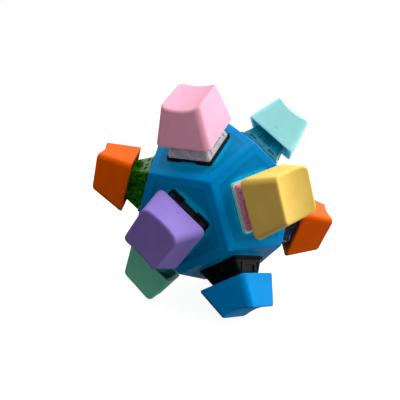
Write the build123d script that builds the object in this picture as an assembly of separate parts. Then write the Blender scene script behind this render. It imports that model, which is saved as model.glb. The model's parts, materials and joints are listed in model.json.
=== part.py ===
from build123d import *
import os
from math import acos, atan2, cos, degrees, radians, sin, sqrt

# A fidget toy: twelve keyboard switches clipped into the faces of a hollow dodecahedral
# shell, each with its own sculpted keycap. It stands on the three lowest keycaps.
# Every switch is drawn once in the frame of its face: z = 0 on the face and +z outwards,
# +y towards the steep back of the keycap. All sizes are in millimetres.

# ---------- shell ----------
shell_edge = 20.75
shell_wall = 3.0
shell_edge_round = 0.5
plate_thickness = 1.5
cutout_side = 14.04
cutout_corner = 0.4
pocket_side = 16.6

# ---------- switch ----------
travel = 3.8
flange_side = 15.6
flange_thickness = 1.0
flange_corner = 1.0
notch_width = 5.4
notch_depth = 0.7
base_side = 13.95
base_corner = 0.5
base_depth = 5.0
base_wall = 1.0
boss_radius = 1.6
boss_top = -1.0
boss_bore = 1.15
post_radius = 2.0
post_bottom = -8.3
bore_bottom = -7.6
clip_width = 4.0
clip_reach = 0.5
top_foot_side = 14.4
top_roof_x = 11.0
top_roof_y = 10.0
top_height = 6.6
top_wall = 0.9
slider_x = 7.1
slider_y = 5.6
slider_clearance = 0.08
slider_bottom = 0.0
shoulder_x = 9.2
shoulder_y = 2.0
cross_length = 4.1
cross_arm = 1.25
stem_top = 10.2
spring_seat = 3.0
spring_bore = 2.5
spring_radius = 2.05
spring_wire = 0.15
spring_turns = 9
pin_radius = 0.95
pin_bottom = -2.4
contact_gauge = 0.3
fixed_pin_x = 2.54
fixed_pin_y = 5.08
leaf_pin_x = -3.81
leaf_pin_y = 2.54
leaf_plate_y = 3.7
contact_pin_bottom = -8.0

# ---------- keycap ----------
rim_height = 6.1
rim_band = 0.7
rim_side = 18.0
cap_wall = 1.35
top_x = 12.3
top_back_y = 8.4
top_front_y = -4.9
top_back_height = 17.35
top_front_height = 17.0
dish_depth = 1.15
crest_round = 0.7
cap_post_radius = 2.75
cap_post_bottom = 6.65
socket_top = 10.3
row_rise = {"high": 0.65, "middle": 0.15, "low": -0.9}

# ---------- layout ----------
# Four rings of three faces. Each key has its ring, its place in the ring, the key that
# its square side faces, the quarter turns from there to the back of its cap, and its row.
keys = {
    "crown_front": (0, 0, "lower_front", 2, "high"),
    "crown_right": (0, 1, "upper_back", 2, "middle"),
    "crown_left": (0, 2, "upper_back", 2, "middle"),
    "upper_right": (1, 0, "lower_front", 3, "middle"),
    "upper_back": (1, 1, "crown_right", 2, "high"),
    "upper_left": (1, 2, "lower_front", 1, "high"),
    "lower_front": (2, 0, "foot_left", 2, "middle"),
    "lower_right": (2, 1, "upper_back", 1, "middle"),
    "lower_left": (2, 2, "upper_back", 2, "middle"),
    "foot_right": (3, 0, "lower_front", 2, "low"),
    "foot_back": (3, 1, "upper_back", 0, "low"),
    "foot_left": (3, 2, "lower_front", 3, "low"),
}
feet = ("foot_right", "foot_back", "foot_left")
surface_tolerance = 0.01
settling_steps = 8
black_bases = ("crown_front", "crown_left", "lower_front", "foot_right")

# ---------- regular dodecahedron ----------
inradius = shell_edge * sqrt(250 + 110 * sqrt(5)) / 20
steep = degrees(acos(sqrt((5 + 2 * sqrt(5)) / 15)))
shallow = degrees(acos(sqrt((5 - 2 * sqrt(5)) / 15)))
ring_polar = (steep, shallow, 180 - shallow, 180 - steep)
ring_azimuth = (-90, -30, -90, -30)


def upright_normal(name):
    """Outward normal of a key's face while the body stands on a corner."""
    ring, place = keys[name][:2]
    polar = radians(ring_polar[ring])
    azimuth = radians(ring_azimuth[ring] + 120 * place)
    return Vector(sin(polar) * cos(azimuth), sin(polar) * sin(azimuth), cos(polar))


def face_directions(name, normals):
    """Local x, y and z directions of a key: y is the back of its cap, z its normal."""
    facing, turns = keys[name][2:4]
    normal = normals[name]
    side = normals[facing] - normal * normals[facing].dot(normal)
    side = side.normalized().rotate(Axis((0, 0, 0), normal), 90 * turns)
    return side.cross(normal), side, normal


def lowest_point(name, surface, normals):
    """The lowest of a foot's surface points, given in the frame of its face."""
    along_x, along_y, normal = face_directions(name, normals)
    placed = [along_x * p.X + along_y * p.Y + normal * (inradius + p.Z) for p in surface]
    return min(placed, key=lambda point: point.Z)


def standing_normals(foot_cap):
    """Normals after the body has leaned over until all three feet touch the table."""
    surface = foot_cap.tessellate(surface_tolerance)[0]
    normals = {name: upright_normal(name) for name in keys}
    for _ in range(settling_steps):
        a, b, c = (lowest_point(name, surface, normals) for name in feet)
        table_up = (b - a).cross(c - a).normalized()
        lean_axis = table_up.cross(Vector(0, 0, 1))
        if lean_axis.length > 1e-9:
            lean = degrees(atan2(lean_axis.length, table_up.Z))
            hinge = Axis((0, 0, 0), lean_axis)
            normals = {name: normals[name].rotate(hinge, lean) for name in keys}
    return normals


def block(x, y, low, high, at_x=0.0, at_y=0.0):
    """A box of x by y, from height low to height high, centred on at_x and at_y."""
    return Pos(at_x, at_y, (low + high) / 2) * Box(x, y, high - low)


def rod(radius, low, high):
    """An upright cylinder from height low to height high."""
    return Pos(0, 0, (low + high) / 2) * Cylinder(radius, high - low)


def rounded_plate(side, corner, low, high):
    """A square plate with rounded upright corners."""
    plate = extrude(RectangleRounded(side, side, corner), high - low)
    return Pos(0, 0, low) * plate


def frustum(foot_x, foot_y, foot_r, low, roof_x, roof_y, roof_r, high, roof_at_y=0.0, tilt=0.0):
    """A rounded rectangle at height low, joined by flat sides to a smaller one above."""
    foot = Pos(0, 0, low) * RectangleRounded(foot_x, foot_y, foot_r)
    roof = Pos(0, roof_at_y, high) * Rot(tilt, 0, 0) * RectangleRounded(roof_x, roof_y, roof_r)
    return loft([foot.face(), roof.face()], ruled=True)


# ---------- pieces of one switch, in the frame of its face ----------
def make_switch_base():
    """Lower housing: flange, hollow body, centre post, spring boss and two plate clips."""
    base = rounded_plate(flange_side, flange_corner, 0, flange_thickness)
    base += rounded_plate(base_side, base_corner, -base_depth, 0)
    for end in (-1, 1):
        base -= block(notch_width, 2 * notch_depth, -1, 2 * flange_thickness, 0, end * flange_side / 2)
    cavity_side = base_side - 2 * base_wall
    base -= block(cavity_side, cavity_side, -base_depth + base_wall, flange_thickness)
    base += rod(boss_radius, -base_depth, boss_top)
    base += rod(post_radius, post_bottom, -base_depth)
    base -= rod(boss_bore, bore_bottom, boss_top)
    clip_top = -plate_thickness - 0.1
    clip_outline = Polyline((0, clip_top), (clip_reach, clip_top), (0, clip_top - 1.6), close=True)
    clip_side = Plane(origin=(-clip_width / 2, base_side / 2, 0), x_dir=(0, 1, 0), z_dir=(1, 0, 0))
    clip = extrude(clip_side * make_face(clip_outline), clip_width)
    base += clip
    base += Rot(0, 0, 180) * clip
    base -= contact_pin(fixed_pin_x, fixed_pin_y)
    base -= contact_pin(leaf_pin_x, leaf_pin_y)
    return base


def make_switch_top():
    """Upper housing: a tapered hood with a rectangular opening for the stem."""
    roof = top_height - top_wall
    hood = frustum(top_foot_side, top_foot_side, 0.8, flange_thickness,
                   top_roof_x, top_roof_y, 0.8, top_height)
    inside = frustum(top_foot_side - 2 * top_wall, top_foot_side - 2 * top_wall, 0.4, flange_thickness,
                     top_roof_x - 2 * top_wall, top_roof_y - 2 * top_wall, 0.4, roof)
    opening = block(slider_x + 2 * slider_clearance, slider_y + 2 * slider_clearance, 0, top_height + 1)
    return hood - inside - opening


def make_stem():
    """Stem: a hollow slider with two stop shoulders, a guide pin and the cross on top."""
    stem = block(slider_x, slider_y, slider_bottom, top_height)
    stem = fillet(stem.edges().filter_by(Axis.Z), 0.5)
    shoulder_top = top_height - top_wall - 0.05
    stem += block(shoulder_x, shoulder_y, slider_bottom, shoulder_top)
    stem -= rod(spring_bore, slider_bottom, spring_seat)
    stem += rod(pin_radius, pin_bottom, spring_seat)
    stem += block(cross_length, cross_arm, top_height, stem_top)
    stem += block(cross_arm, cross_length, top_height, stem_top)
    return stem


def make_spring():
    """Coil spring, standing on the floor of the lower housing under the stem."""
    low = -base_depth + base_wall + spring_wire
    high = spring_seat - spring_wire
    coil = Pos(0, 0, low) * Helix((high - low) / spring_turns, high - low, spring_radius)
    section = Plane(origin=coil @ 0, z_dir=coil % 0) * Circle(spring_wire)
    return sweep(section, path=coil, is_frenet=True)


def contact_pin(x, y):
    """The part of a contact that passes down through the floor of the lower housing."""
    return block(1.5, contact_gauge, contact_pin_bottom, -base_depth + base_wall, x, y)


def make_fixed_contact():
    """Fixed contact: an upright blade beside the stem, with its solder pin."""
    floor = -base_depth + base_wall
    blade = block(2.2, contact_gauge, floor, 0.6, fixed_pin_x, fixed_pin_y)
    return blade + contact_pin(fixed_pin_x, fixed_pin_y)


def make_contact_leaf():
    """Contact leaf: a foot on the floor, an upright blade and its solder pin."""
    floor = -base_depth + base_wall
    blade = block(1.5, contact_gauge, floor, 0.9, leaf_pin_x - 0.4, leaf_plate_y)
    depth = leaf_plate_y - leaf_pin_y + contact_gauge
    foot = block(1.2, depth, floor, floor + contact_gauge, leaf_pin_x - 0.3, (leaf_plate_y + leaf_pin_y) / 2)
    return blade + foot + contact_pin(leaf_pin_x, leaf_pin_y)


# ---------- keycap ----------
def make_keycap(rise):
    """Keycap: vertical rim, sloping sides, a top dished across its width, and its post."""
    depth = top_back_y - top_front_y
    middle_y = (top_back_y + top_front_y) / 2
    middle_height = (top_back_height + top_front_height) / 2 + rise
    tilt = degrees(atan2(top_back_height - top_front_height, depth))
    shoulder = rim_height + rim_band
    cap = rounded_plate(rim_side, 1.2, rim_height, shoulder)
    cap += frustum(rim_side, rim_side, 1.2, shoulder, top_x, depth, 1.6, middle_height, middle_y, tilt)
    dish_radius = (top_x ** 2 / 4 + dish_depth ** 2) / (2 * dish_depth)
    dish_axis_height = middle_height + dish_radius - dish_depth
    dish = Pos(0, middle_y, dish_axis_height) * Rot(90 + tilt, 0, 0) * Cylinder(dish_radius, 3 * depth)
    cap -= dish
    crest = cap.edges().filter_by(lambda edge: edge.center().Z > middle_height - dish_depth - 0.4)
    cap = fillet(crest, crest_round)
    ceiling = middle_height - dish_depth - cap_wall
    room = frustum(rim_side - 2 * cap_wall, rim_side - 2 * cap_wall, 0.8, rim_height,
                   top_x - 1.7 * cap_wall, depth - 1.9 * cap_wall, 0.8, ceiling, middle_y)
    cap -= room
    cap += rod(cap_post_radius, cap_post_bottom, ceiling + 0.3)
    cap -= block(cross_length, cross_arm, cap_post_bottom, socket_top)
    cap -= block(cross_arm, cross_length, cap_post_bottom, socket_top)
    return cap


# ---------- the whole toy ----------
def dodecahedron(radius, normals):
    """A regular dodecahedron about the body's centre with the given face normals."""
    solid = Sphere(1.5 * radius)
    for normal in normals.values():
        solid = split(solid, bisect_by=Plane(origin=normal * radius, z_dir=normal), keep=Keep.BOTTOM)
    return solid


def make_shell(places, normals):
    """Hollow dodecahedron with a thinned square seat and a cut-out in every face."""
    outer = fillet(dodecahedron(inradius, normals).edges(), shell_edge_round)
    shell = outer - dodecahedron(inradius - shell_wall, normals)
    seat = block(pocket_side, pocket_side, -shell_wall - 0.6, -plate_thickness)
    seat += rounded_plate(cutout_side, cutout_corner, -plate_thickness - 0.5, 1.0)
    for place in places.values():
        shell -= place * seat
    return shell


def main():
    caps = {row: make_keycap(rise) for row, rise in row_rise.items()}
    normals = standing_normals(caps["low"])
    places = {}
    for name in keys:
        along_x, along_y, normal = face_directions(name, normals)
        places[name] = Plane(origin=normal * inradius, x_dir=along_x, z_dir=normal).location

    foot_caps = [places[name] * caps[keys[name][4]] for name in feet]
    centre_height = -min(cap.bounding_box().min.Z for cap in foot_caps)
    lift = Pos(0, 0, centre_height)
    shell = lift * make_shell(places, normals)
    places = {name: lift * place for name, place in places.items()}

    base, top, stem, spring = make_switch_base(), make_switch_top(), make_stem(), make_spring()
    fixed, leaf = make_fixed_contact(), make_contact_leaf()
    nodes = {
        "shell": shell,
        "black_switch_bases": Compound([places[name] * base for name in black_bases]),
        "fixed_contacts": Compound([place * fixed for place in places.values()]),
        "contact_leaves": Compound([place * leaf for place in places.values()]),
    }
    for name, place in places.items():
        nodes["keycap_" + name] = place * caps[keys[name][4]]
        nodes["stem_" + name] = place * stem
        nodes["spring_" + name] = place * spring
        nodes["switch_top_" + name] = place * top
        if name not in black_bases:
            nodes["switch_base_" + name] = place * base

    os.makedirs("parts", exist_ok=True)
    for name, shape in nodes.items():
        export_step(shape, "parts/" + name + ".step")
    print("body centre above the table:", round(centre_height, 3), "mm")
    for name in feet:
        low = nodes["keycap_" + name].bounding_box().min.Z
        print(name, "lowest point above the table:", round(low, 3), "mm")


main()
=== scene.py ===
"""Looks of the keyboard-switch fidget ball, laid out as a Blender add-on and run as a script."""
import json
import math

import bmesh
import bpy
from bpy.props import FloatProperty, FloatVectorProperty, IntProperty, PointerProperty
from mathutils import Matrix, Vector


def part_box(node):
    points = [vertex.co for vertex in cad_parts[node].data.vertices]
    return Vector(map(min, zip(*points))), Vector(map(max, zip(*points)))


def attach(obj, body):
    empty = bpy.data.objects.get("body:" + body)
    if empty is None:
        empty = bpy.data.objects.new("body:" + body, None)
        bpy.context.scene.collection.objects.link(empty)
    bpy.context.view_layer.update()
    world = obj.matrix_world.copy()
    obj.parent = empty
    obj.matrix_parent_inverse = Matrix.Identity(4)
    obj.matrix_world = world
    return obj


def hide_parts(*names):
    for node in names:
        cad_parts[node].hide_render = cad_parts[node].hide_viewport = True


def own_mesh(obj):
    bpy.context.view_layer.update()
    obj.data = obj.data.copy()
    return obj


bl_info = {
    "name": "Switch fidget ball",
    "version": (1, 0, 0),
    "blender": (4, 5, 0),
    "location": "View3D > Sidebar > Fidget",
    "description": "Keycaps, switches, shell and stage of a keyboard-switch fidget ball",
    "category": "Object",
}

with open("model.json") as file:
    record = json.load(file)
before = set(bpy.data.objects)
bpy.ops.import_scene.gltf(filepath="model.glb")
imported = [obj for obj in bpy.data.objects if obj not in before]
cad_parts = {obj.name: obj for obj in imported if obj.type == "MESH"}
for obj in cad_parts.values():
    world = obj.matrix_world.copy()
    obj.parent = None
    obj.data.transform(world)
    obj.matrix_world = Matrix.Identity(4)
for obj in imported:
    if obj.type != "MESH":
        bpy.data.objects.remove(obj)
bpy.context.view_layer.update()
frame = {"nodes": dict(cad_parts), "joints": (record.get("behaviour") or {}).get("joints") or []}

MM = 0.001
SHARP_ANGLE = math.radians(32)

# Each key: the key that its square side faces, the quarter turns from there to the steep
# back of its cap, its cap row, and the finishes of cap, upper housing, lower housing and stem.
KEYS = {
    "crown_front": ("lower_front", 2, "high", "pink", "clear", "black", "cream"),
    "crown_right": ("upper_back", 2, "middle", "aqua", "teal", "teal", "teal"),
    "crown_left": ("upper_back", 2, "middle", "yellow", "black", "black", "blue"),
    "upper_right": ("lower_front", 3, "middle", "yellow", "rose", "mint", "rose"),
    "upper_back": ("crown_right", 2, "high", "lavender", "clear", "violet", "red"),
    "upper_left": ("lower_front", 1, "high", "orange", "green", "green", "green"),
    "lower_front": ("foot_left", 2, "middle", "lavender", "black", "black", "red"),
    "lower_right": ("upper_back", 1, "middle", "orange", "smoke", "violet", "red"),
    "lower_left": ("upper_back", 2, "middle", "blue", "rose", "mint", "rose"),
    "foot_right": ("lower_front", 2, "low", "blue", "black", "black", "blue"),
    "foot_back": ("upper_back", 0, "low", "pink", "clear", "teal", "cream"),
    "foot_left": ("lower_front", 3, "low", "seafoam", "teal", "teal", "teal"),
}
ROW_RISE = {"high": 0.65, "middle": 0.15, "low": -0.9}
NORMALS = {joint["child"][4:]: -Vector(joint["axis"]) for joint in frame["joints"]}


def body_centre():
    """Middle of the shell, which is the same through its centre in every direction."""
    low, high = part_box("shell")
    return (low + high) / 2


CENTRE = body_centre()


def face_height():
    """Distance from the shell's middle to its faces."""
    normal = NORMALS["crown_front"]
    return max((v.co - CENTRE).dot(normal) for v in frame["nodes"]["shell"].data.vertices)


FACE_HEIGHT = face_height()


def face_frame(name):
    """Millimetre frame of a key: z = 0 on the face, +z outwards, +y to the cap's back."""
    facing, turns = KEYS[name][:2]
    normal = NORMALS[name]
    side = NORMALS[facing] - normal * NORMALS[facing].dot(normal)
    side = Matrix.Rotation(math.radians(90 * turns), 3, normal) @ side.normalized()
    across = side.cross(normal)
    turn = Matrix((across, side, normal)).transposed().to_4x4()
    return Matrix.Translation(CENTRE + normal * FACE_HEIGHT) @ turn @ Matrix.Scale(MM, 4)


# ---------- settings ----------
class ShellSettings(bpy.types.PropertyGroup):
    wall: FloatProperty(name="Wall", description="Wall thickness, mm", default=3.0)
    edge_round: FloatProperty(
        name="Edge round", description="Width of the rounded edges, mm", default=0.4)
    border: FloatProperty(name="Border", description="Width of each face's border, mm", default=2.7)
    step: FloatProperty(
        name="Step", description="Depth of the panel inside the border, mm", default=0.09)
    cutout: FloatProperty(
        name="Opening", description="Side of the square openings, mm", default=14.04)
    plate: FloatProperty(
        name="Plate", description="Thickness of the plate at a switch, mm", default=1.5)
    pocket: FloatProperty(
        name="Pocket", description="Side of the pocket behind the plate, mm", default=16.6)


class KeycapSettings(bpy.types.PropertyGroup):
    rim_side: FloatProperty(name="Rim side", description="Width of the open rim, mm", default=18.0)
    rim_height: FloatProperty(name="Rim height", description="Rim above the shell, mm", default=6.1)
    rim_band: FloatProperty(name="Rim band", description="Upright band at the rim, mm", default=0.7)
    wall: FloatProperty(name="Wall", description="Wall thickness, mm", default=1.35)
    top_width: FloatProperty(name="Top width", description="Width of the top, mm", default=12.3)
    top_back: FloatProperty(name="Top back", description="Back edge of the top, mm", default=8.4)
    top_front: FloatProperty(
        name="Top front", description="Front edge of the top, mm", default=-4.9)
    back_height: FloatProperty(name="Back height", description="Top's back edge, mm", default=17.35)
    front_height: FloatProperty(
        name="Front height", description="Top's front edge, mm", default=17.0)
    dish_depth: FloatProperty(
        name="Dish depth", description="Depth of the dished top, mm", default=1.15)
    rim_corner: FloatProperty(
        name="Rim corner", description="Radius of the rim's corners, mm", default=1.8)
    top_corner: FloatProperty(
        name="Top corner", description="Radius of the top's corners, mm", default=1.75)
    crest_round: FloatProperty(
        name="Crest round", description="Radius of the top edge, mm", default=0.7)
    dish_cuts: IntProperty(name="Dish cuts", description="Facets across the dish", default=16)
    post_radius: FloatProperty(
        name="Post radius", description="Radius of the post, mm", default=2.75)
    post_bottom: FloatProperty(name="Post bottom", description="Foot of the post, mm", default=6.65)


class SwitchSettings(bpy.types.PropertyGroup):
    foot_side: FloatProperty(
        name="Hood foot", description="Hood width at the flange, mm", default=14.4)
    roof_x: FloatProperty(name="Roof width", description="Roof of the hood, mm", default=11.0)
    roof_y: FloatProperty(name="Roof depth", description="Roof of the hood, mm", default=10.0)
    flange: FloatProperty(name="Flange", description="Flange thickness, mm", default=1.0)
    height: FloatProperty(name="Hood height", description="Roof above the shell, mm", default=6.6)
    wall: FloatProperty(name="Hood wall", description="Wall thickness, mm", default=0.9)
    slot_x: FloatProperty(name="Slot width", description="Stem opening, mm", default=7.26)
    slot_y: FloatProperty(name="Slot depth", description="Stem opening, mm", default=5.76)
    coil_radius: FloatProperty(
        name="Coil radius", description="Middle of the wire, mm", default=2.05)
    wire_radius: FloatProperty(name="Wire radius", description="Spring wire, mm", default=0.15)
    coil_turns: IntProperty(name="Coil turns", description="Turns of the spring", default=9)
    coil_floor: FloatProperty(
        name="Coil floor", description="Foot of the spring, mm", default=-3.98)
    coil_top: FloatProperty(name="Coil top", description="Head of the spring, mm", default=2.94)
    base_floor: FloatProperty(
        name="Base floor", description="Floor of the lower housing, mm", default=-4.0)
    gauge: FloatProperty(
        name="Gauge", description="Thickness of the contact strip, mm", default=0.3)
    leaf_x: FloatProperty(
        name="Leaf pin across", description="Solder pin of the leaf, mm", default=-3.81)
    leaf_y: FloatProperty(
        name="Leaf pin along", description="Solder pin of the leaf, mm", default=2.54)
    plate_y: FloatProperty(
        name="Leaf plate", description="Upright blade of the leaf, mm", default=3.7)
    leaf_top: FloatProperty(name="Leaf top", description="Head of the leaf, mm", default=0.9)
    pin_foot: FloatProperty(name="Pin foot", description="Foot of the solder pin, mm", default=-8.0)


class StageSettings(bpy.types.PropertyGroup):
    azimuth: FloatProperty(
        name="Azimuth", description="Camera round the toy",
        default=math.radians(27.39), unit="ROTATION")
    elevation: FloatProperty(
        name="Elevation", description="Camera above the table",
        default=math.radians(13.99), unit="ROTATION")
    roll: FloatProperty(
        name="Roll", description="Camera's lean", default=math.radians(1.77), unit="ROTATION")
    distance: FloatProperty(
        name="Distance", description="Camera to the middle", default=0.13864, unit="LENGTH")
    aside: FloatProperty(
        name="Aside", description="Camera to its right", default=-0.004415, unit="LENGTH")
    above: FloatProperty(
        name="Above", description="Camera along its up", default=0.000395, unit="LENGTH")
    lens: FloatProperty(
        name="Lens", description="Focal length on a 36 mm sensor, mm", default=35.52)
    key_power: FloatProperty(
        name="Key light", description="Power of the large soft lamp", default=1.6)
    fill: FloatProperty(
        name="Fill", description="Brightness of the room at its brightest", default=1.7)
    floor_colour: FloatVectorProperty(
        name="Floor", description="Pale matt floor", subtype="COLOR", default=(0.25, 0.25, 0.25))


# ---------- materials ----------
# Where the two colours of a ramp stand on it.
RAMP_DARK, RAMP_LIGHT = 0.3, 0.7
# Width of the changes of tone and surface in each finish, and the depth of the grain, in mm.
# Real keycap grain is about 0.05 mm wide; it is drawn wider so that it shows.
CAP_GRAIN, CAP_CLOUD = 0.2, 6.0
RESIN_RIPPLE, RESIN_CLOUD = 1.4, 9.0
HOUSING_CLOUD = 1.3
METAL_CLOUD = 0.8
GRAIN_DEPTH = 0.02
# Painted light and shade of a shell face, and the millimetres over which each comes in: painted
# shade on the panel at its edge, a painted lighter border, painted shade at the shell's edge, and a
# painted glow on the thin plate. The first three count outwards from the panel's edge, the last
# from the edge of the pocket behind the plate.
PANEL_EDGE_PAINTED_SHADE = ("#007CB4", -1.6, -0.2)
BORDER_PAINTED_LIGHT = ("#0088C2", -0.1, 0.5)
SHELL_EDGE_PAINTED_SHADE = ("#007EBC", 0.9)
PLATE_PAINTED_GLOW = ("#00B8F4", 1.5, -0.3)
# Power that shapes the rounded square of the plate's painted glow: 2 would be a circle.
PLATE_GLOW_SQUARENESS = 4.0


def linear(hex_colour):
    """sRGB hex, such as #FF8800, as linear red, green, blue and alpha."""
    channels = [int(hex_colour[i:i + 2], 16) / 255 for i in (1, 3, 5)]
    curve = [c / 12.92 if c <= 0.04045 else ((c + 0.055) / 1.055) ** 2.4 for c in channels]
    return (*curve, 1.0)


def add_node(tree, kind, settings=None, inputs=None, links=None):
    """One shader node with its settings, its socket values and its incoming links."""
    node = tree.nodes.new(kind)
    for key, value in (settings or {}).items():
        setattr(node, key, value)
    for key, value in (inputs or {}).items():
        node.inputs[key].default_value = value
    for key, source in (links or {}).items():
        tree.links.new(source, node.inputs[key])
    return node


def new_material(name):
    """An empty node material with its output node."""
    material = bpy.data.materials.new(name)
    material.use_nodes = True
    tree = material.node_tree
    tree.nodes.clear()
    return material, tree, add_node(tree, "ShaderNodeOutputMaterial")


def grain(tree, size_mm, detail=2.0):
    """Noise in object space whose blobs are size_mm across."""
    place = add_node(tree, "ShaderNodeTexCoord")
    return add_node(tree, "ShaderNodeTexNoise",
                    inputs={"Scale": 1 / (size_mm * MM), "Detail": detail},
                    links={"Vector": place.outputs["Object"]})


def shade_range(tree, factor, dark, light):
    """A colour ramp between two hex colours."""
    ramp = add_node(tree, "ShaderNodeValToRGB", links={"Fac": factor})
    ramp.color_ramp.elements[0].position = RAMP_DARK
    ramp.color_ramp.elements[0].color = linear(dark)
    ramp.color_ramp.elements[1].position = RAMP_LIGHT
    ramp.color_ramp.elements[1].color = linear(light)
    return ramp.outputs["Color"]


def keycap_plastic(name, dark, light):
    """PBT, injection moulded in a spark-eroded tool: a soft sheen, an even fine grain, and a
    little light carried under the surface."""
    material, tree, out = new_material(name)
    fine = grain(tree, CAP_GRAIN)
    cloudy = grain(tree, CAP_CLOUD, detail=3.0)
    bump = add_node(tree, "ShaderNodeBump", inputs={"Strength": 0.2, "Distance": GRAIN_DEPTH * MM},
                    links={"Height": fine.outputs["Fac"]})
    shader = add_node(tree, "ShaderNodeBsdfPrincipled",
                      inputs={"Roughness": 0.55, "IOR": 1.5, "Specular IOR Level": 0.12,
                              "Specular Tint": linear(light),
                              "Subsurface Weight": 0.12, "Subsurface Radius": (1.0, 0.8, 0.7),
                              "Subsurface Scale": 0.8 * MM},
                      links={"Base Color": shade_range(tree, cloudy.outputs["Fac"], dark, light),
                             "Normal": bump.outputs["Normal"]})
    tree.links.new(shader.outputs["BSDF"], out.inputs["Surface"])
    return material


def calculate(tree, operation, first, second):
    """A sum on a socket and either another socket or a number."""
    if isinstance(second, float):
        inputs, links = {1: second}, {0: first}
    else:
        inputs, links = None, {0: first, 1: second}
    return add_node(tree, "ShaderNodeMath", {"operation": operation}, inputs, links).outputs[0]


def edge_reach(tree):
    """How far a point lies from the middle of its face, toward the nearest edge, in mm."""
    pentagon = add_node(tree, "ShaderNodeUVMap", {"uv_map": "pentagon"}).outputs["UV"]
    sides = []
    for angle in (math.radians(90 + 72 * k) for k in range(5)):
        outwards = (math.cos(angle), math.sin(angle), 0)
        side = add_node(tree, "ShaderNodeVectorMath", {"operation": "DOT_PRODUCT"},
                        {1: outwards}, {0: pentagon})
        sides.append(side.outputs["Value"])
    result = sides[0]
    for value in sides[1:]:
        result = calculate(tree, "MAXIMUM", result, value)
    return result


def square_reach(tree):
    """Half the side of the rounded square through a point about the switch, in mm."""
    square = add_node(tree, "ShaderNodeVectorMath", {"operation": "ABSOLUTE"}, None,
                      {0: add_node(tree, "ShaderNodeUVMap", {"uv_map": "square"}).outputs["UV"]})
    split = add_node(tree, "ShaderNodeSeparateXYZ", None, None, {0: square.outputs["Vector"]})
    powers = [calculate(tree, "POWER", split.outputs[axis], PLATE_GLOW_SQUARENESS) for axis in "XY"]
    return calculate(tree, "POWER", calculate(tree, "ADD", *powers), 1 / PLATE_GLOW_SQUARENESS)


def zone(tree, value, start, end):
    """Runs from 0 at start to 1 at end, in millimetres on a face; start may be the larger."""
    return add_node(tree, "ShaderNodeMapRange", {"interpolation_type": "SMOOTHSTEP"},
                    {"From Min": start, "From Max": end}, {"Value": value}).outputs["Result"]


def blend_colour(tree, factor, under, over):
    """Lays a hex colour over another colour where the factor is 1."""
    mix = add_node(tree, "ShaderNodeMix", {"data_type": "RGBA"}, {7: linear(over)},
                   {0: factor, 6: under})
    return mix.outputs[2]


def shell_resin(name, inradius, border, pocket):
    """Tinted translucent resin, cast hollow: saturated blue with a satin gloss. Light and shade are
    painted into its colour: a painted glow on the thin plate round each switch, painted shade on
    the panel toward its edge, a painted lighter border, and painted shade toward the edge of the
    shell."""
    material, tree, out = new_material(name)
    cloudy = grain(tree, RESIN_CLOUD)
    ripple = grain(tree, RESIN_RIPPLE)
    bump = add_node(tree, "ShaderNodeBump", inputs={"Strength": 0.12, "Distance": GRAIN_DEPTH * MM},
                    links={"Height": ripple.outputs["Fac"]})
    reach = edge_reach(tree)
    ring = square_reach(tree)
    colour = shade_range(tree, cloudy.outputs["Fac"], "#0080B6", "#008CC4")
    line = inradius - border
    # Painted shade on the panel toward its edge, then a painted lighter band on the border.
    for tone, start, end in (PANEL_EDGE_PAINTED_SHADE, BORDER_PAINTED_LIGHT):
        colour = blend_colour(tree, zone(tree, reach, line + start, line + end), colour, tone)
    # Painted shade on the border toward the edge of the shell.
    tone, start = SHELL_EDGE_PAINTED_SHADE
    colour = blend_colour(tree, zone(tree, reach, line + start, inradius), colour, tone)
    # Painted glow on the thin plate round the switch, standing in for the light it lets out.
    tone, start, end = PLATE_PAINTED_GLOW
    colour = blend_colour(tree, zone(tree, ring, pocket + start, pocket + end), colour, tone)
    shader = add_node(tree, "ShaderNodeBsdfPrincipled",
                      inputs={"Roughness": 0.36, "IOR": 1.4, "Specular IOR Level": 0.05,
                              "Specular Tint": linear("#0098F8"), "Transmission Weight": 0.06,
                              "Subsurface Weight": 0.85, "Subsurface Radius": (0.02, 0.7, 1.0),
                              "Subsurface Scale": 2.5 * MM},
                      links={"Base Color": colour, "Normal": bump.outputs["Normal"]})
    tree.links.new(shader.outputs["BSDF"], out.inputs["Surface"])
    return material


def housing_plastic(name, dark, light, clear, roughness, gloss=0.5):
    """Moulded switch plastic: clear says how much light goes through it."""
    material, tree, out = new_material(name)
    cloudy = grain(tree, HOUSING_CLOUD)
    shader = add_node(tree, "ShaderNodeBsdfPrincipled",
                      inputs={"Roughness": roughness, "IOR": 1.5, "Transmission Weight": clear,
                              "Specular IOR Level": gloss},
                      links={"Base Color": shade_range(tree, cloudy.outputs["Fac"], dark, light)})
    tree.links.new(shader.outputs["BSDF"], out.inputs["Surface"])
    return material


def metal(name, dark, light, roughness):
    """Plain drawn or stamped metal with faint tone changes along it."""
    material, tree, out = new_material(name)
    cloudy = grain(tree, METAL_CLOUD)
    shader = add_node(tree, "ShaderNodeBsdfPrincipled",
                      inputs={"Roughness": roughness, "Metallic": 1.0},
                      links={"Base Color": shade_range(tree, cloudy.outputs["Fac"], dark, light)})
    tree.links.new(shader.outputs["BSDF"], out.inputs["Surface"])
    return material


# Dark and light tone of each cap.
CAP_COLOURS = {
    "pink": ("#F8ACC6", "#FEB4CE"), "aqua": ("#A6F8FC", "#B0FEFF"),
    "yellow": ("#E8C45C", "#F0CC68"), "orange": ("#DC5600", "#E65E02"),
    "lavender": ("#7C69B2", "#8471BC"), "blue": ("#0088D2", "#0090DC"),
    "seafoam": ("#5CA890", "#64B298"),
}
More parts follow.
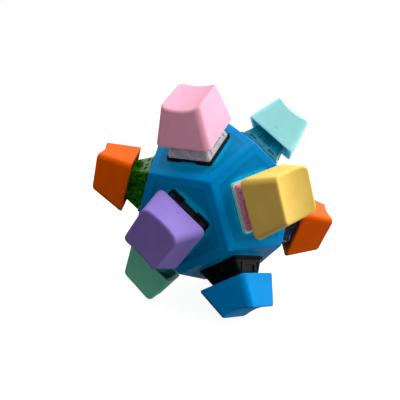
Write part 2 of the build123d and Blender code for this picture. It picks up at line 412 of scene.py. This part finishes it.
# Dark and light tone of each housing, how clear it is, its roughness and, if not 0.5, its gloss.
HOUSING_COLOURS = {
    "clear": ("#E6DCE4", "#FFFFFF", 0.5, 0.1), "teal": ("#0088A6", "#10B4C8", 0.35, 0.16, 0.3),
    "black": ("#0A0E12", "#0E1216", 0.0, 0.42, 0.1), "rose": ("#F890B0", "#FFA4C2", 0.2, 0.3),
    "green": ("#043004", "#38B014", 0.45, 0.22, 0.1), "mint": ("#C8F8EC", "#D8FFF6", 0.2, 0.3),
    "violet": ("#5A54D0", "#7C6CE8", 0.5, 0.15), "smoke": ("#6878A0", "#98A8CC", 0.75, 0.08),
}
STEM_COLOURS = {
    "cream": "#F0EEE6", "teal": "#1090A0", "blue": "#2060D0", "rose": "#F490AA", "red": "#D02828",
    "green": "#5AA020",
}
STEM_ROUGHNESS = 0.38
# Every finish of the toy, kept by name.
MATERIALS = {}


def make_materials():
    """Every finish of the toy, kept by name."""
    for name, (dark, light) in CAP_COLOURS.items():
        MATERIALS["cap_" + name] = keycap_plastic("PBT, moulded, " + name, dark, light)
    for name, finish in HOUSING_COLOURS.items():
        MATERIALS["housing_" + name] = housing_plastic("Polycarbonate, moulded, " + name, *finish)
    for name, colour in STEM_COLOURS.items():
        MATERIALS["stem_" + name] = housing_plastic("Acetal, moulded, " + name, colour, colour, 0.0,
                                                   STEM_ROUGHNESS)
    MATERIALS["spring"] = metal("Spring steel wire, drawn", "#B8BABE", "#D2D4D8", 0.25)
    MATERIALS["contact"] = metal("Phosphor bronze strip, stamped", "#C88A52", "#DCA468", 0.3)


# ---------- mesh helpers, all in millimetres in the frame of a face ----------
# Tolerances: for a cut, for a match of heights, and for a match after a bevel.
FINE, NEAR, ROUGH = 1e-5, 1e-4, 1e-3
# Cosines: a face beyond the first looks up or down, one beyond the second is level, and one
# beyond the third belongs to the wall on that side.
UPWARD, LEVEL, WALL_FACING = 0.9, 0.99, 0.8


def box(bm, x, y, low, high, at=(0.0, 0.0)):
    """A block from height low to height high."""
    middle = Matrix.Translation((at[0], at[1], (low + high) / 2))
    place = middle @ Matrix.Diagonal((x, y, high - low, 1))
    bmesh.ops.create_cube(bm, size=1.0, matrix=place)


def round_edges(bm, edges, radius, segments):
    """Rounds some edges."""
    bmesh.ops.bevel(bm, geom=list(edges), offset=radius, offset_type="OFFSET", segments=segments,
                    profile=0.5, affect="EDGES", material=-1, clamp_overlap=True)
    bm.normal_update()


def rounded_block(bm, outline, low, high, segments):
    """A block whose upright edges are rounded to the outline's corner radius."""
    box(bm, 2 * outline[0], 2 * outline[1], low, high, at=(0.0, outline[2]))
    upright = [e for e in bm.edges if abs(e.verts[0].co.z - e.verts[1].co.z) > (high - low) / 2]
    round_edges(bm, upright, outline[3], segments)


def end_face(bm, up):
    """The highest face that looks up, or the lowest that looks down."""
    def height(face):
        return face.calc_center_median().z

    if up:
        return max((f for f in bm.faces if f.normal.z > UPWARD), key=height)
    return min((f for f in bm.faces if f.normal.z < -UPWARD), key=height)


def refit(value, half, radius, new_half, new_radius):
    """Carries one coordinate of a rounded outline over to another outline."""
    flat = half - radius
    if abs(value) <= flat:
        return value * (new_half - new_radius) / flat
    return math.copysign(new_half - new_radius + (abs(value) - flat) * new_radius / radius, value)


def fit_outline(verts, old, new, height, lean=0.0):
    """Moves vertices from one outline (half x, half y, middle y, corner radius) to another."""
    for vertex in verts:
        x = refit(vertex.co.x, old[0], old[3], new[0], new[3])
        along = refit(vertex.co.y - old[2], old[1], old[3], new[1], new[3])
        vertex.co = Vector((x, new[2] + along, height + along * lean))


def grow(bm, face, old, new, height, lean=0.0):
    """Extrudes a face to a new outline at a height; returns the new face."""
    grown = bmesh.ops.extrude_face_region(bm, geom=[face])["geom"]
    fit_outline([g for g in grown if isinstance(g, bmesh.types.BMVert)], old, new, height, lean)
    if face.is_valid:
        bmesh.ops.delete(bm, geom=[face], context="FACES_ONLY")
    bm.normal_update()
    return next(g for g in grown if isinstance(g, bmesh.types.BMFace))


def cut_faces(bm, faces, at, normal, snap=FINE):
    """Cuts some faces with a plane."""
    edges = {e for f in faces for e in f.edges}
    verts = {v for f in faces for v in f.verts}
    geometry = list(faces) + list(edges) + list(verts)
    bmesh.ops.bisect_plane(bm, geom=geometry, dist=snap, plane_co=at, plane_no=normal)


def relief(bm, side, middle, half, low, high, depth, margin=0.1):
    """Sinks (or with a negative depth raises) a rectangle of one outer wall; margin is the width
    of its sloping rim."""
    side = Vector(side)
    along = Vector((0, 0, 1)).cross(side)

    def outer_wall():
        return [f for f in bm.faces
                if f.normal.dot(side) > WALL_FACING and f.calc_center_median().dot(side) > 0]

    for offset in (middle - half, middle + half):
        cut_faces(bm, outer_wall(), along * offset, along)
    for height in (low, high):
        cut_faces(bm, outer_wall(), (0, 0, height), (0, 0, 1))
    chosen = [f for f in outer_wall()
              if abs(f.calc_center_median().dot(along) - middle) < half
              and low < f.calc_center_median().z < high]
    bmesh.ops.inset_region(bm, faces=chosen, thickness=margin, depth=-depth, use_even_offset=True)
    bm.normal_update()


def add_piece(name, bm, place, material, body, node, weighted=True):
    """Finishes a mesh in the toy's frame; it rides on a body and stands for a node."""
    bm.transform(place)
    mesh = bpy.data.meshes.new(name)
    bm.to_mesh(mesh)
    bm.free()
    mesh.materials.append(material)
    mesh.shade_smooth()
    mesh.set_sharp_from_angle(angle=SHARP_ANGLE)
    piece = bpy.data.objects.new(name, mesh)
    bpy.context.scene.collection.objects.link(piece)
    if weighted:
        piece.modifiers.new("Even flat faces", "WEIGHTED_NORMAL").keep_sharp = True
    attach(piece, body)
    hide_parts(node)
    return piece


def finish_node(node, material):
    """Gives a CAD node its material."""
    target = frame["nodes"][node]
    target.data.materials.clear()
    target.data.materials.append(material)


# ---------- shell, in millimetres about its middle ----------
# Width of the slope from the border down to the panel.
STEP_SLOPE = 0.3
# Place of every inner face on both maps: on the panel, outside the plate's tone.
INNER_PLACE = (10.0, 0.0)


def dodecahedron(bm, height):
    """A large cube cut down by twelve planes."""
    bmesh.ops.create_cube(bm, size=8 * height)
    for normal in NORMALS.values():
        bmesh.ops.bisect_plane(bm, geom=list(bm.faces) + list(bm.edges) + list(bm.verts), dist=FINE,
                               plane_co=normal * height, plane_no=normal, clear_outer=True)
        bmesh.ops.edgeloop_fill(bm, edges=[e for e in bm.edges if e.is_boundary])
    bmesh.ops.recalc_face_normals(bm, faces=bm.faces)


def shell_mesh(s):
    """Hollow dodecahedron: stepped panels, and a square opening with a pocket in each face."""
    bm = bmesh.new()
    height = FACE_HEIGHT / MM
    dodecahedron(bm, height)
    copy = bmesh.ops.duplicate(bm, geom=list(bm.faces) + list(bm.edges) + list(bm.verts))["geom"]
    inner = [g for g in copy if isinstance(g, bmesh.types.BMFace)]
    corners = [g for g in copy if isinstance(g, bmesh.types.BMVert)]
    size = 1 - s.wall / height
    bmesh.ops.scale(bm, vec=(size, size, size), verts=corners)
    bmesh.ops.reverse_faces(bm, faces=inner)
    hidden = {e for f in inner for e in f.edges}
    round_edges(bm, [e for e in bm.edges if e not in hidden], s.edge_round, segments=3)
    for name, normal in NORMALS.items():
        place = Matrix.Translation(-CENTRE / MM) @ Matrix.Scale(1 / MM, 4) @ face_frame(name)
        open_face(bm, s, place, normal, height)
    bmesh.ops.remove_doubles(bm, verts=bm.verts, dist=ROUGH)
    map_faces(bm, height)
    return bm


def pentagon_inradius():
    """Middle of a face to its edges, from the angle between two neighbouring faces."""
    first = NORMALS["crown_front"]
    apart = min(first.angle(other) for other in NORMALS.values() if other != first)
    return FACE_HEIGHT / MM * math.tan(apart / 2)


def flat_faces(bm, normal, height):
    """Faces that lie in the plane at a height along a normal."""
    return [f for f in bm.faces if abs(abs(f.normal.dot(normal)) - 1) < NEAR
            and abs(f.calc_center_median().dot(normal) - height) < ROUGH]


def cut_square(bm, place, normal, height, half):
    """Cuts a square out of the flat faces at a height; returns the square's edges."""
    for column in (0, 1):
        direction = Vector(place.col[column][:3])
        for offset in (-half, half):
            cut_faces(bm, flat_faces(bm, normal, height), direction * offset, direction)
    middle = min(flat_faces(bm, normal, height),
                 key=lambda f: (f.calc_center_median() - normal * height).length)
    edges = list(middle.edges)
    bmesh.ops.delete(bm, geom=[middle], context="FACES_ONLY")
    return edges


def open_face(bm, s, place, normal, height):
    """Steps one face's panel down and opens it for a switch."""
    panel = max(flat_faces(bm, normal, height), key=lambda f: f.calc_area())
    bmesh.ops.inset_region(bm, faces=[panel], thickness=s.border - s.edge_round,
                           use_even_offset=True)
    bmesh.ops.inset_region(bm, faces=[panel], thickness=STEP_SLOPE, depth=-s.step,
                           use_even_offset=True)
    bm.normal_update()
    rim = cut_square(bm, place, normal, height - s.step, s.cutout / 2)
    wider = s.pocket / s.cutout
    for depth, scale in ((s.plate, 1.0), (s.plate, wider), (s.wall, 1.0)):
        grown = bmesh.ops.extrude_edge_only(bm, edges=rim)["geom"]
        rim = [g for g in grown if isinstance(g, bmesh.types.BMEdge) and g.is_boundary]
        for vertex in {v for e in rim for v in e.verts}:
            off_axis = vertex.co - normal * vertex.co.dot(normal)
            vertex.co = normal * (height - depth) + off_axis * scale
    cut_square(bm, place, normal, height - s.wall, s.pocket / 2)


def map_faces(bm, height):
    """Two maps in millimetres on the outer faces: one square to the switch, one to the pentagon."""
    square = bm.loops.layers.uv.new("square")
    pentagon = bm.loops.layers.uv.new("pentagon")
    for face in bm.faces:
        centre = face.calc_center_median()
        name = max(NORMALS, key=lambda key: centre.dot(NORMALS[key]))
        turn = Matrix.Rotation(math.radians(90 * KEYS[name][1]), 2)
        frame_of_face = face_frame(name).to_3x3().normalized()
        outside = face.normal.dot(NORMALS[name]) > 0.5 and centre.dot(NORMALS[name]) > height - 1
        for loop in face.loops:
            place = Vector((loop.vert.co @ frame_of_face)[:2] if outside else INNER_PLACE)
            loop[square].uv = place
            loop[pentagon].uv = turn @ place


# ---------- keycap ----------
# How far the strips of the dish stop short of the top's corners.
DISH_MARGIN = 0.15
# Under the cap: corner radius, the top's half sizes less these shares of the wall, and the
# rounding of the rim's inner edge.
INNER_CORNER = 0.8
ROOF_INSET_X, ROOF_INSET_Y = 0.85, 0.95
LIP_ROUND = 0.18
# Share of the rim's corner radius by which the floor is first drawn in.
FLOOR_INSET = 0.8
# How far the post runs up into the top.
POST_OVERLAP = 0.3
# Moulding mark: its share of the way up the back wall, radii of its two ends, length, width of
# its rim, how deep its middle is sunk, and how far its own middle lies inside the wall.
GATE_UP = 0.2
GATE_RADII = (0.52, 0.42)
GATE_LENGTH = 0.28
GATE_RIM = 0.14
GATE_DIP = 0.2
GATE_SUNK = 0.05


def dish_drop(x, half, depth):
    """How far the dish lies below the crest at x."""
    radius = (half ** 2 + depth ** 2) / (2 * depth)
    return max(0.0, math.sqrt(radius ** 2 - min(abs(x), half) ** 2) - radius + depth)


def keycap_mesh(s, rise):
    """Rounded tapered cap, dished across its width, hollow below, with its post."""
    bm = bmesh.new()
    depth = s.top_back - s.top_front
    middle_y = (s.top_back + s.top_front) / 2
    height = (s.back_height + s.front_height) / 2 + rise
    lean = (s.back_height - s.front_height) / depth
    rim = (s.rim_side / 2, s.rim_side / 2, 0.0, s.rim_corner)
    top = (s.top_width / 2, depth / 2, middle_y, s.top_corner)
    shoulder = s.rim_height + s.rim_band
    rounded_block(bm, rim, s.rim_height, shoulder, segments=6)
    grow(bm, end_face(bm, True), rim, top, height, lean)
    round_edges(bm, end_face(bm, True).edges, s.crest_round, segments=5)
    cut_dish_strips(bm, s, top)
    for vertex in bm.verts:
        sag_vertex(vertex, rim, top, shoulder, height, lean, s.dish_depth)
    bm.normal_update()
    hollow_out(bm, s, rim, height)
    add_post(bm, s, height)
    add_gate_mark(bm, s, shoulder, height)
    return bm


def cut_dish_strips(bm, s, top):
    """Cuts the top into strips that can follow the dish, and its ends at the corners' vertices."""
    reach = top[0] - top[3] - DISH_MARGIN
    for i in range(s.dish_cuts):
        x = reach * (2 * i / (s.dish_cuts - 1) - 1)
        cut_faces(bm, [f for f in bm.faces if f.normal.z > -UPWARD], (x, 0, 0), (1, 0, 0))
    corners = sorted({round(v.co.x, 4) for f in bm.faces if f.normal.z > LEVEL for v in f.verts
                      if abs(v.co.x) > reach + 0.01})
    for x in corners[1:-1]:
        ends = [f for f in bm.faces if f.normal.z > LEVEL and abs(f.calc_center_median().x) > reach]
        cut_faces(bm, ends, (x, 0, 0), (1, 0, 0), snap=ROUGH)
    bm.normal_update()


def sag_vertex(vertex, rim, top, shoulder, height, lean, dish_depth):
    """Lowers a vertex of the walls or top by the dish, along the sloping walls."""
    crest = height + (vertex.co.y - top[2]) * lean
    share = (vertex.co.z - shoulder) / (crest - shoulder)
    if share <= 0:
        return
    lower = share * (1 - dish_drop(vertex.co.x, top[0], dish_depth) / (crest - shoulder))
    before = [a + (b - a) * share for a, b in zip(rim, top)]
    after = [a + (b - a) * lower for a, b in zip(rim, top)]
    vertex.co.x *= after[0] / before[0]
    vertex.co.y = after[2] + (vertex.co.y - before[2]) * after[1] / before[1]
    vertex.co.z = shoulder + lower * (crest - shoulder)


def hollow_out(bm, s, rim, height):
    """Opens the cap from below with an even wall."""
    floor = end_face(bm, False)
    step = FLOOR_INSET * rim[3]
    bmesh.ops.inset_region(bm, faces=[floor], thickness=step, use_even_offset=True)
    inner = (rim[0] - s.wall, rim[1] - s.wall, 0.0, INNER_CORNER)
    drawn_in = (rim[0] - step, rim[1] - step, 0.0, rim[3] - step)
    fit_outline(floor.verts, drawn_in, inner, s.rim_height)
    depth = s.top_back - s.top_front
    roof = (s.top_width / 2 - ROOF_INSET_X * s.wall, depth / 2 - ROOF_INSET_Y * s.wall,
            (s.top_back + s.top_front) / 2, INNER_CORNER)
    grow(bm, floor, inner, roof, height - s.dish_depth - s.wall)
    lip = [e for e in bm.edges if all(abs(v.co.z - s.rim_height) < NEAR for v in e.verts)
           and any(abs(f.normal.z) < 0.5 for f in e.link_faces)
           and any(f.normal.z < -0.5 for f in e.link_faces)]
    round_edges(bm, lip, LIP_ROUND, segments=2)


def add_post(bm, s, height):
    """The post that grips the stem."""
    high = height - s.dish_depth - s.wall + POST_OVERLAP
    bmesh.ops.create_cone(bm, cap_ends=True, segments=40, radius1=s.post_radius,
                          radius2=s.post_radius, depth=high - s.post_bottom,
                          matrix=Matrix.Translation((0, 0, (s.post_bottom + high) / 2)))


def add_gate_mark(bm, s, shoulder, height):
    """The small moulding mark low on the back wall."""
    half_y = s.rim_side / 2 + (s.top_back - s.rim_side / 2) * GATE_UP
    slope = math.atan2(s.rim_side / 2 - s.top_back, height - shoulder)
    place = (Matrix.Translation((0, half_y - GATE_SUNK, shoulder + GATE_UP * (height - shoulder)))
             @ Matrix.Rotation(slope - math.pi / 2, 4, "X"))
    mark = bmesh.ops.create_cone(bm, cap_ends=True, segments=20, radius1=GATE_RADII[0],
                                 radius2=GATE_RADII[1], depth=GATE_LENGTH, matrix=place)["verts"]
    outer = max({f for v in mark for f in v.link_faces if len(f.verts) > 4},
                key=lambda f: f.calc_center_median().y)
    bmesh.ops.inset_region(bm, faces=[outer], thickness=GATE_RIM, depth=0.0)
    bmesh.ops.translate(bm, verts=outer.verts, vec=(0, -GATE_DIP, 0))


# ---------- upper housing ----------
# Corner radii outside, at foot and roof, and inside; height of the upright band at the foot.
HOOD_FOOT_CORNER, HOOD_ROOF_CORNER, HOOD_INNER_CORNER = 0.8, 1.0, 0.5
HOOD_BAND = 0.35
# How far the floor is first drawn in, the corner this leaves, the same for the roof's opening,
# and the rounding of the roof's edge.
HOOD_FLOOR_INSET, HOOD_INSET_CORNER, HOOD_SLOT_INSET = 0.5, 0.3, 0.4
HOOD_CREST = 0.3
# Reliefs of the walls: half width, bottom, top and depth, which is negative where raised.
SNAP_WINDOW = (1.25, 1.6, 2.45, 0.5)
MIDDLE_TAB = (0.9, 1.5, 2.6, -0.25)
GROOVE = (0.28, 3.2, 5.6, 0.4)
SIDE_PANEL = (2.7, 2.6, 5.5, 0.4)
SIDE_SLOT = (0.45, 1.8, 4.6, 0.35)
# Their middles: windows and side slots to each side, and the row of grooves.
WINDOW_ASIDE, SIDE_SLOT_ASIDE = 3.9, 4.6
GROOVES, GROOVE_PITCH, GROOVE_MARGIN = 5, 1.0, 0.06


def hood_mesh(s):
    """Tapered hood with an opening for the stem, grooves, snap windows and side panels."""
    bm = bmesh.new()
    foot = (s.foot_side / 2, s.foot_side / 2, 0.0, HOOD_FOOT_CORNER)
    roof = (s.roof_x / 2, s.roof_y / 2, 0.0, HOOD_ROOF_CORNER)
    rounded_block(bm, foot, s.flange, s.flange + HOOD_BAND, segments=4)
    top = grow(bm, end_face(bm, True), foot, roof, s.height)
    floor = end_face(bm, False)
    inset = HOOD_FLOOR_INSET
    bmesh.ops.inset_region(bm, faces=[floor], thickness=inset, use_even_offset=True)
    drawn_in = (foot[0] - inset, foot[1] - inset, 0.0, HOOD_INSET_CORNER)
    inner = (foot[0] - s.wall, foot[1] - s.wall, 0.0, HOOD_INNER_CORNER)
    fit_outline(floor.verts, drawn_in, inner, s.flange)
    inner_roof = (roof[0] - s.wall, roof[1] - s.wall, 0.0, HOOD_INNER_CORNER)
    ceiling = grow(bm, floor, inner, inner_roof, s.height - s.wall)
    cut_slot(bm, s, top, ceiling)
    carve_walls(bm)
    crest = [e for e in bm.edges if all(abs(v.co.z - s.height) < NEAR for v in e.verts)
             and any(0.05 < f.normal.z < UPWARD for f in e.link_faces)]
    round_edges(bm, crest, HOOD_CREST, segments=3)
    return bm


def cut_slot(bm, s, top, ceiling):
    """Cuts the stem's rectangular opening through the roof."""
    for face in (top, ceiling):
        bmesh.ops.inset_region(bm, faces=[face], thickness=HOOD_SLOT_INSET, use_even_offset=True)
        for vertex in face.verts:
            vertex.co.x = math.copysign(s.slot_x / 2, vertex.co.x)
            vertex.co.y = math.copysign(s.slot_y / 2, vertex.co.y)
    rims = [e for face in (top, ceiling) for e in face.edges]
    bmesh.ops.delete(bm, geom=[top, ceiling], context="FACES_ONLY")
    bmesh.ops.bridge_loops(bm, edges=rims)
    bmesh.ops.remove_doubles(bm, verts=bm.verts, dist=NEAR)
    bm.normal_update()


def carve_walls(bm):
    """Snap windows, a tab and grooves on the front and back; a panel and slots on the sides."""
    for side in ((0, 1, 0), (0, -1, 0)):
        for middle in (-WINDOW_ASIDE, WINDOW_ASIDE):
            relief(bm, side, middle, *SNAP_WINDOW)
        relief(bm, side, 0.0, *MIDDLE_TAB)
        for i in range(GROOVES):
            relief(bm, side, GROOVE_PITCH * (i - GROOVES // 2), *GROOVE, margin=GROOVE_MARGIN)
    for side in ((1, 0, 0), (-1, 0, 0)):
        relief(bm, side, 0.0, *SIDE_PANEL)
        for middle in (-SIDE_SLOT_ASIDE, SIDE_SLOT_ASIDE):
            relief(bm, side, middle, *SIDE_SLOT)


# ---------- spring ----------
# Facets along each turn of the spring, and round its wire.
TURN_FACETS, WIRE_FACETS = 20, 8


def coil_mesh(s):
    """Coil spring: a ring of wire screwed round the stem's axis."""
    bm = bmesh.new()
    low = s.coil_floor + s.wire_radius
    height = s.coil_top - s.coil_floor - 2 * s.wire_radius
    steps = s.coil_turns * TURN_FACETS
    start = Matrix.Translation((s.coil_radius, 0, low)) @ Matrix.Rotation(math.pi / 2, 4, "X")
    ring = bmesh.ops.create_circle(bm, cap_ends=False, segments=WIRE_FACETS, radius=s.wire_radius,
                                   matrix=start)
    edges = {e for v in ring["verts"] for e in v.link_edges}
    bmesh.ops.spin(bm, geom=list(ring["verts"]) + list(edges), cent=(0, 0, 0), axis=(0, 0, 1),
                   dvec=(0, 0, height / steps), angle=2 * math.pi * s.coil_turns, steps=steps)
    bmesh.ops.holes_fill(bm, edges=bm.edges, sides=WIRE_FACETS)
    bmesh.ops.recalc_face_normals(bm, faces=bm.faces)
    return bm


# ---------- contact leaves ----------
# Widths of the leaf's blade and pin and of its foot, how far the blade stands beyond the pin,
# and the rounding of its edges.
LEAF_WIDTH, LEAF_FOOT_WIDTH = 1.5, 1.0
LEAF_SHIFT = 0.4
LEAF_ROUND = 0.04


def leaf_mesh(s):
    """Bronze leaf: an upright blade, a foot narrow enough to clear the stem, and a solder pin."""
    bm = bmesh.new()
    floor = s.base_floor
    half = s.gauge / 2
    blade_x = s.leaf_x - LEAF_SHIFT
    foot_y = (s.plate_y + s.leaf_y) / 2 - half
    box(bm, LEAF_WIDTH, s.gauge, floor, s.leaf_top, at=(blade_x, s.plate_y))
    box(bm, LEAF_FOOT_WIDTH, s.plate_y - s.leaf_y, floor, floor + s.gauge, at=(blade_x, foot_y))
    box(bm, LEAF_WIDTH, s.gauge, s.pin_foot, floor, at=(s.leaf_x, s.leaf_y))
    round_edges(bm, bm.edges, LEAF_ROUND, segments=1)
    return bm


def all_leaves(s):
    """The twelve leaves in one mesh, in the toy's frame."""
    leaves = bmesh.new()
    for name in KEYS:
        leaf = leaf_mesh(s)
        leaf.transform(face_frame(name))
        mesh = bpy.data.meshes.new("leaf")
        leaf.to_mesh(mesh)
        leaf.free()
        leaves.from_mesh(mesh)
        bpy.data.meshes.remove(mesh)
    return leaves


# ---------- operators ----------
class FIDGET_OT_shell(bpy.types.Operator):
    """Make the hollow dodecahedral shell"""

    bl_idname = "fidget.shell"
    bl_label = "Shell"

    def execute(self, context):
        s = context.scene.fidget_shell
        inradius = pentagon_inradius()
        resin = shell_resin("Tinted translucent resin, cast", inradius, s.border, s.pocket / 2)
        place = Matrix.Translation(CENTRE) @ Matrix.Scale(MM, 4)
        add_piece("shell_body", shell_mesh(s), place, resin, "core", "shell")
        return {"FINISHED"}


class FIDGET_OT_keycaps(bpy.types.Operator):
    """Make the twelve sculpted keycaps"""

    bl_idname = "fidget.keycaps"
    bl_label = "Keycaps"

    def execute(self, context):
        s = context.scene.fidget_keycap
        for name, (_, _, row, colour, *_) in KEYS.items():
            bm = keycap_mesh(s, ROW_RISE[row])
            add_piece("cap_" + name, bm, face_frame(name), MATERIALS["cap_" + colour],
                      "key_" + name, "keycap_" + name)
        return {"FINISHED"}


class FIDGET_OT_housings(bpy.types.Operator):
    """Make the upper housings and finish the lower ones"""

    bl_idname = "fidget.housings"
    bl_label = "Switch housings"

    def execute(self, context):
        s = context.scene.fidget_switch
        finish_node("black_switch_bases", MATERIALS["housing_black"])
        for name, (_, _, _, _, upper, lower, _) in KEYS.items():
            add_piece("hood_" + name, hood_mesh(s), face_frame(name), MATERIALS["housing_" + upper],
                      "core", "switch_top_" + name)
            if lower != "black":
                finish_node("switch_base_" + name, MATERIALS["housing_" + lower])
        return {"FINISHED"}


class FIDGET_OT_insides(bpy.types.Operator):
    """Finish the stems and contacts and make the springs"""

    bl_idname = "fidget.insides"
    bl_label = "Stems, springs and contacts"

    def execute(self, context):
        s = context.scene.fidget_switch
        finish_node("fixed_contacts", MATERIALS["contact"])
        add_piece("contact_leaves_cut", all_leaves(s), Matrix.Identity(4), MATERIALS["contact"],
                  "core", "contact_leaves")
        for name, (*_, stem) in KEYS.items():
            finish_node("stem_" + name, MATERIALS["stem_" + stem])
            place = face_frame(name)
            coil = add_piece("coil_" + name, coil_mesh(s), place, MATERIALS["spring"], "core",
                             "spring_" + name, weighted=False)
            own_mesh(coil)
        return {"FINISHED"}


class FIDGET_OT_stage(bpy.types.Operator):
    """Set the floor, backdrop, lights and camera"""

    bl_idname = "fidget.stage"
    bl_label = "Stage"

    def execute(self, context):
        s = context.scene.fidget_stage
        make_floor(s)
        make_backdrop()
        make_lights(context, s)
        make_camera(context, s)
        context.scene.view_settings.view_transform = "Standard"
        return {"FINISHED"}


# ---------- stage ----------
# Radius of the floor and of the dome, and width and distance of the lamp, in metres.
STAGE_RADIUS = 2.4
LAMP_WIDTH, LAMP_DISTANCE = 0.26, 0.45
# Shares of the camera's right and up, and of its back, in the way to the bright side of the
# room and to the lamp.
BRIGHT_SIDE = (0.62, 0.79)
LAMP_SIDE = (0.66, 0.74, -0.12)
# Cosine from the bright side at which the room's light has faded out.
DARK_FROM = -0.62


def camera_axes(s):
    """Right, up and back directions of the camera."""
    level = Vector((math.cos(s.azimuth), math.sin(s.azimuth), 0))
    back = Vector((math.sin(s.azimuth) * math.cos(s.elevation),
                   -math.cos(s.azimuth) * math.cos(s.elevation), math.sin(s.elevation)))
    right = Matrix.Rotation(s.roll, 3, back) @ level
    return right, back.cross(right), back


def make_camera(context, s):
    """The camera, aimed a little to one side of the toy's middle."""
    right, up, back = camera_axes(s)
    data = bpy.data.cameras.new("Camera")
    data.sensor_width = 36.0
    data.lens = s.lens
    data.clip_start = 0.01
    camera = bpy.data.objects.new("Camera", data)
    context.scene.collection.objects.link(camera)
    place = Matrix((right, up, back)).transposed().to_4x4()
    place.translation = CENTRE + right * s.aside + up * s.above + back * s.distance
    camera.matrix_world = place
    context.scene.camera = camera


def stage_material(name, colour, glow):
    """Matt painted board, lit evenly from behind so that it stays pale."""
    material, tree, out = new_material(name)
    shader = add_node(tree, "ShaderNodeBsdfPrincipled",
                      inputs={"Base Color": (*colour, 1), "Roughness": 1.0,
                              "Specular IOR Level": 0.0, "Emission Color": (1, 1, 1, 1),
                              "Emission Strength": glow})
    tree.links.new(shader.outputs["BSDF"], out.inputs["Surface"])
    return material


def stage_object(name, bm, material):
    """A floor or backdrop that the camera sees and that casts no light on the toy."""
    mesh = bpy.data.meshes.new(name)
    bm.to_mesh(mesh)
    bm.free()
    mesh.materials.append(material)
    mesh.shade_smooth()
    thing = bpy.data.objects.new(name, mesh)
    bpy.context.scene.collection.objects.link(thing)
    thing.visible_diffuse = False
    thing.visible_glossy = False
    thing.visible_shadow = False


def make_floor(s):
    """A wide round board under the toy."""
    bm = bmesh.new()
    bmesh.ops.create_circle(bm, cap_ends=True, segments=96, radius=STAGE_RADIUS)
    stage_object("floor", bm, stage_material("Matt white board", s.floor_colour, 0.9))


def make_backdrop():
    """A pale dome all round, far away."""
    bm = bmesh.new()
    bmesh.ops.create_uvsphere(bm, u_segments=48, v_segments=24, radius=STAGE_RADIUS)
    stage_object("backdrop", bm, stage_material("Pale backdrop", (0.0, 0.0, 0.0), 1.0))


def make_lights(context, s):
    """A bright upper right side of the room that fades to the lower left, and one large lamp."""
    right, up, back = camera_axes(s)
    bright = (right * BRIGHT_SIDE[0] + up * BRIGHT_SIDE[1]).normalized()
    world = bpy.data.worlds.new("Soft room")
    world.use_nodes = True
    tree = world.node_tree
    place = add_node(tree, "ShaderNodeTexCoord")
    side = add_node(tree, "ShaderNodeVectorMath", {"operation": "DOT_PRODUCT"}, {1: bright},
                    {0: place.outputs["Generated"]})
    fade = add_node(tree, "ShaderNodeMapRange", {"clamp": True},
                    {"From Min": DARK_FROM, "From Max": 1.0, "To Min": 0.0, "To Max": s.fill},
                    {"Value": side.outputs["Value"]})
    tree.links.new(fade.outputs["Result"], tree.nodes["Background"].inputs["Strength"])
    tree.links.new(shade_range(tree, fade.outputs["Result"], "#FFEEE2", "#FFFFFF"),
                   tree.nodes["Background"].inputs["Color"])
    context.scene.world = world
    toward = (right * LAMP_SIDE[0] + up * LAMP_SIDE[1] + back * LAMP_SIDE[2]).normalized()
    data = bpy.data.lights.new("Key", "AREA")
    data.shape = "DISK"
    data.size = LAMP_WIDTH
    data.energy = s.key_power
    lamp = bpy.data.objects.new("Key", data)
    lamp.location = CENTRE + toward * LAMP_DISTANCE
    lamp.rotation_mode = "QUATERNION"
    lamp.rotation_quaternion = toward.to_track_quat("Z", "Y")
    context.scene.collection.objects.link(lamp)


class FIDGET_PT_panel(bpy.types.Panel):
    bl_label = "Switch fidget ball"
    bl_idname = "FIDGET_PT_panel"
    bl_space_type = "VIEW_3D"
    bl_region_type = "UI"
    bl_category = "Fidget"

    def draw(self, context):
        for operator in OPERATORS:
            self.layout.operator(operator.bl_idname)


OPERATORS = (FIDGET_OT_shell, FIDGET_OT_keycaps, FIDGET_OT_housings, FIDGET_OT_insides,
             FIDGET_OT_stage)
CLASSES = (ShellSettings, KeycapSettings, SwitchSettings, StageSettings, *OPERATORS,
           FIDGET_PT_panel)


def register():
    for cls in CLASSES:
        bpy.utils.register_class(cls)
    bpy.types.Scene.fidget_shell = PointerProperty(type=ShellSettings)
    bpy.types.Scene.fidget_keycap = PointerProperty(type=KeycapSettings)
    bpy.types.Scene.fidget_switch = PointerProperty(type=SwitchSettings)
    bpy.types.Scene.fidget_stage = PointerProperty(type=StageSettings)


def unregister():
    del bpy.types.Scene.fidget_stage
    del bpy.types.Scene.fidget_switch
    del bpy.types.Scene.fidget_keycap
    del bpy.types.Scene.fidget_shell
    for cls in reversed(CLASSES):
        bpy.utils.unregister_class(cls)


def main():
    register()
    make_materials()
    bpy.ops.fidget.shell()
    bpy.ops.fidget.keycaps()
    bpy.ops.fidget.housings()
    bpy.ops.fidget.insides()
    bpy.ops.fidget.stage()


if __name__ == "__main__":
    main()
